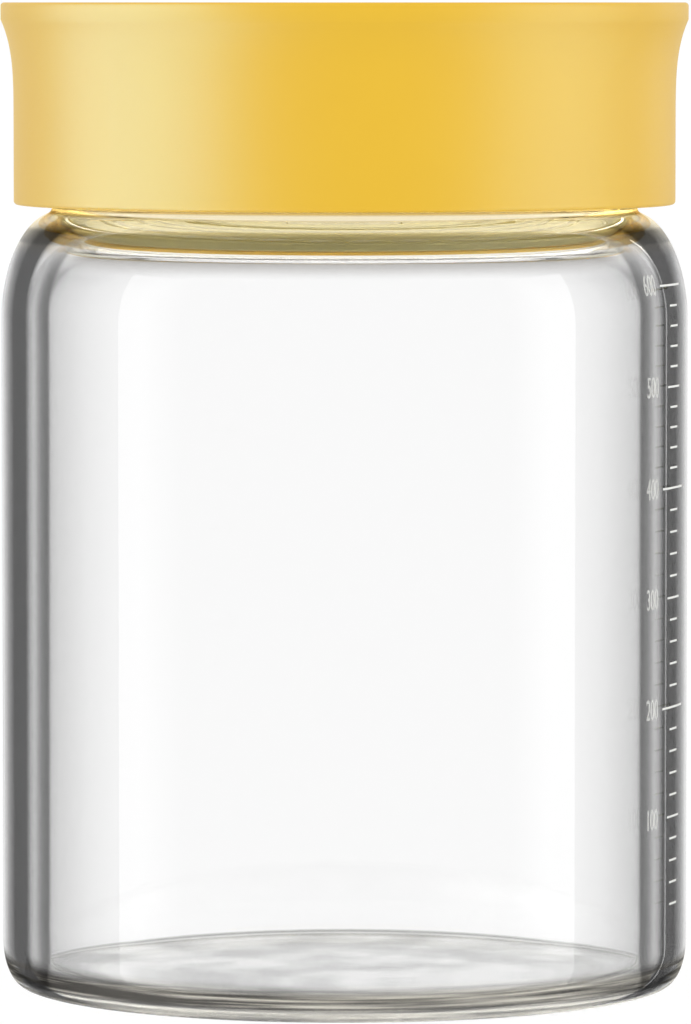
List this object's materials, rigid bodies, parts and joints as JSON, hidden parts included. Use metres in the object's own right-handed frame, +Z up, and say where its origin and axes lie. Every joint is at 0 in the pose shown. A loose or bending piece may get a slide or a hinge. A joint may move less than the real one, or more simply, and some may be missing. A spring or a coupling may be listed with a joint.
{
  "type": "screw-lid glass jar",
  "caption": "Clear glass storage jar with a rounded shoulder, a printed volume scale and a tall flared screw lid with a seal ring.",
  "frame": {"origin": "centre of the base, on the surface that the jar stands on", "axes": "+Z up along the jar's axis towards the lid, -Y the front, +X towards the printed scale"},
  "size_m": [0.0978, 0.0978, 0.14],
  "materials": {
    "clear_glass": "clear, fire polished",
    "silicone": "translucent, satin",
    "pale_yellow_polypropylene": "moulded, satin",
    "yellow_polypropylene": "moulded, fine matte"
  },
  "bodies": {
    "jar": {"glass_jar": "clear_glass"},
    "seal": {"seal_ring": "silicone"},
    "lid": {"lid_inner_cap": "pale_yellow_polypropylene", "lid_shell": "yellow_polypropylene"}
  },
  "joints": [
    {"name": "lid_rise", "type": "slide", "parent": "jar", "child": "seal", "axis": [0, 0, 1], "range_m": [0, 0.02]},
    {"name": "lid_turn", "type": "hinge", "parent": "seal", "child": "lid", "pos_m": [0, 0, 0.1281], "axis": [0, 0, 1], "range_deg": [0, 720]}
  ],
  "couplings": [
    {"joint": "lid_rise", "follows": "lid_turn", "m_per_rad": 0.0015915}
  ]
}
